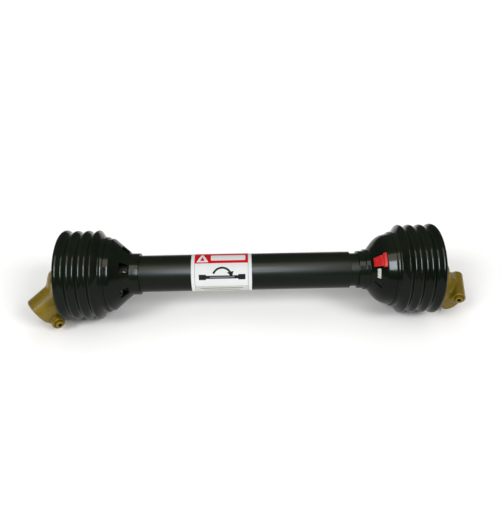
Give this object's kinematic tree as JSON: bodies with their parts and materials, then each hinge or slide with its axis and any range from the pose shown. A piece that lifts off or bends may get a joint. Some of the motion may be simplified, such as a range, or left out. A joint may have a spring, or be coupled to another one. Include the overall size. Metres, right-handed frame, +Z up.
{
  "type": "universal joint shaft",
  "caption": "Telescoping universal joint drive shaft with two splined quick-release yokes, cross joints and a black plastic guard with ribbed bells.",
  "frame": {"origin": "centre of the footprint, on the surface that the two bells rest on", "axes": "+X along the shaft from the outer-guard end to the inner-guard end, +Y to the back, +Z up"},
  "size_m": [0.8262, 0.1688, 0.1688],
  "materials": {
    "guard_plastic": "glossy black moulded polyethylene",
    "yoke_paint": "mustard yellow enamel over a forging",
    "pin_paint": "mustard yellow enamel over turned steel",
    "bearing_steel": "ground and oiled bearing steel",
    "profile_steel": "drawn steel with a thin film of grease",
    "nylon": "natural white nylon",
    "key_plastic": "red moulded plastic",
    "label_film": "printed plastic film, no wording"
  },
  "bodies": {
    "outer_guard": {"outer_guard_tube": "guard_plastic", "base_cup_left": "guard_plastic", "bell_left": "guard_plastic", "bearing_ring_left": "nylon", "safety_label": "label_film"},
    "inner_guard": {"inner_guard_tube": "guard_plastic", "base_cup_right": "guard_plastic", "bell_right": "guard_plastic", "bearing_ring_right": "nylon"},
    "lock_key": {"lock_key": "key_plastic"},
    "outer_driveline": {"inner_yoke_left": "yoke_paint", "outer_profile_tube": "profile_steel", "roll_pin_left": "bearing_steel", "inner_bearing_cup_left_a": "bearing_steel", "inner_bearing_cup_left_b": "bearing_steel", "inner_circlip_left_a": "bearing_steel", "inner_circlip_left_b": "bearing_steel"},
    "inner_driveline": {"inner_yoke_right": "yoke_paint", "inner_profile_tube": "profile_steel", "roll_pin_right": "bearing_steel", "inner_bearing_cup_right_a": "bearing_steel", "inner_bearing_cup_right_b": "bearing_steel", "inner_circlip_right_a": "bearing_steel", "inner_circlip_right_b": "bearing_steel"},
    "cross_left": {"cross_left": "bearing_steel", "grease_nipple_left": "bearing_steel"},
    "outer_yoke_left": {"outer_yoke_left": "yoke_paint", "pin_cap_left": "yoke_paint", "pin_spring_left": "bearing_steel", "outer_bearing_cup_left_a": "bearing_steel", "outer_bearing_cup_left_b": "bearing_steel", "outer_circlip_left_a": "bearing_steel", "outer_circlip_left_b": "bearing_steel"},
    "push_pin_left": {"push_pin_left": "pin_paint"},
    "cross_right": {"cross_right": "bearing_steel", "grease_nipple_right": "bearing_steel"},
    "outer_yoke_right": {"outer_yoke_right": "yoke_paint", "pin_cap_right": "yoke_paint", "pin_spring_right": "bearing_steel", "outer_bearing_cup_right_a": "bearing_steel", "outer_bearing_cup_right_b": "bearing_steel", "outer_circlip_right_a": "bearing_steel", "outer_circlip_right_b": "bearing_steel"},
    "push_pin_right": {"push_pin_right": "pin_paint"}
  },
  "joints": [
    {"name": "drive_spin", "type": "hinge", "parent": "outer_guard", "child": "outer_driveline", "pos_m": [0, 0, 0.08439], "axis": [1, 0, 0], "continuous": true},
    {"name": "telescope", "type": "slide", "parent": "outer_driveline", "child": "inner_driveline", "axis": [1, 0, 0], "range_m": [-0.014, 0.2]},
    {"name": "guard_telescope", "type": "slide", "parent": "outer_guard", "child": "inner_guard", "axis": [1, 0, 0], "range_m": [-0.014, 0.2]},
    {"name": "lock_key_turn", "type": "hinge", "parent": "inner_guard", "child": "lock_key", "pos_m": [0.31466, 0, 0.08439], "axis": [1, 0, 0], "range_deg": [0, 10]},
    {"name": "cross_left_swing", "type": "hinge", "parent": "outer_driveline", "child": "cross_left", "pos_m": [-0.31934, 0, 0.08439], "axis": [0, -0.8192, 0.5736], "range_deg": [-84, 0]},
    {"name": "yoke_left_swing", "type": "hinge", "parent": "cross_left", "child": "outer_yoke_left", "pos_m": [-0.31934, 0, 0.08439], "axis": [0.6691, -0.4262, -0.6087], "range_deg": [-5, 20]},
    {"name": "pin_left_press", "type": "slide", "parent": "outer_yoke_left", "child": "push_pin_left", "axis": [-0.591, 0.8024, 0.083], "range_m": [0, 0.0115], "stiffness_N_per_m": 900, "springref_m": -0.006, "deforming": ["pin_spring_left"]},
    {"name": "cross_right_swing", "type": "hinge", "parent": "inner_driveline", "child": "cross_right", "pos_m": [0.31466, 0, 0.08439], "axis": [0, -0.8192, 0.5736], "range_deg": [-7, 74]},
    {"name": "yoke_right_swing", "type": "hinge", "parent": "cross_right", "child": "outer_yoke_right", "pos_m": [0.31466, 0, 0.08439], "axis": [0.6088, 0.455, 0.6499], "range_deg": [-34.5, 4]},
    {"name": "pin_right_press", "type": "slide", "parent": "outer_yoke_right", "child": "push_pin_right", "axis": [0.2391, 0.967, 0.088], "range_m": [0, 0.0115], "stiffness_N_per_m": 900, "springref_m": -0.006, "deforming": ["pin_spring_right"]}
  ],
  "couplings": [
    {"joint": "guard_telescope", "follows": "telescope", "ratio": 1}
  ]
}
